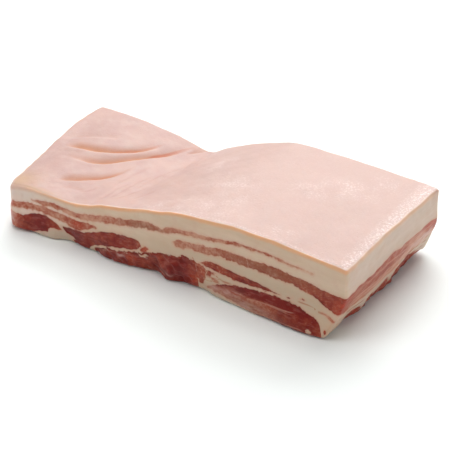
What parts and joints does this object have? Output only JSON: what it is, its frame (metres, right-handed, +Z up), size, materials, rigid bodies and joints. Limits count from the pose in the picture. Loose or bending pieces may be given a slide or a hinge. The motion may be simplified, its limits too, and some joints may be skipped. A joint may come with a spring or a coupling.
{
  "type": "pork belly slab",
  "caption": "Rectangular slab of raw pork belly lying skin side up, thick at one end and thin with folded skin at the other; streaky layers of lean and fat show on its cut sides.",
  "frame": {"origin": "under the middle of the bounding box, on the surface the slab rests on", "axes": "+X along the slab towards its thick end, +Y from the front cut towards the back cut, +Z up through the skin"},
  "size_m": [0.2956, 0.1362, 0.0628],
  "materials": {
    "meat": "moist raw skin over cream fat with streaks of red lean"
  },
  "bodies": {
    "root": {"belly_slab": "meat"}
  },
  "joints": []
}
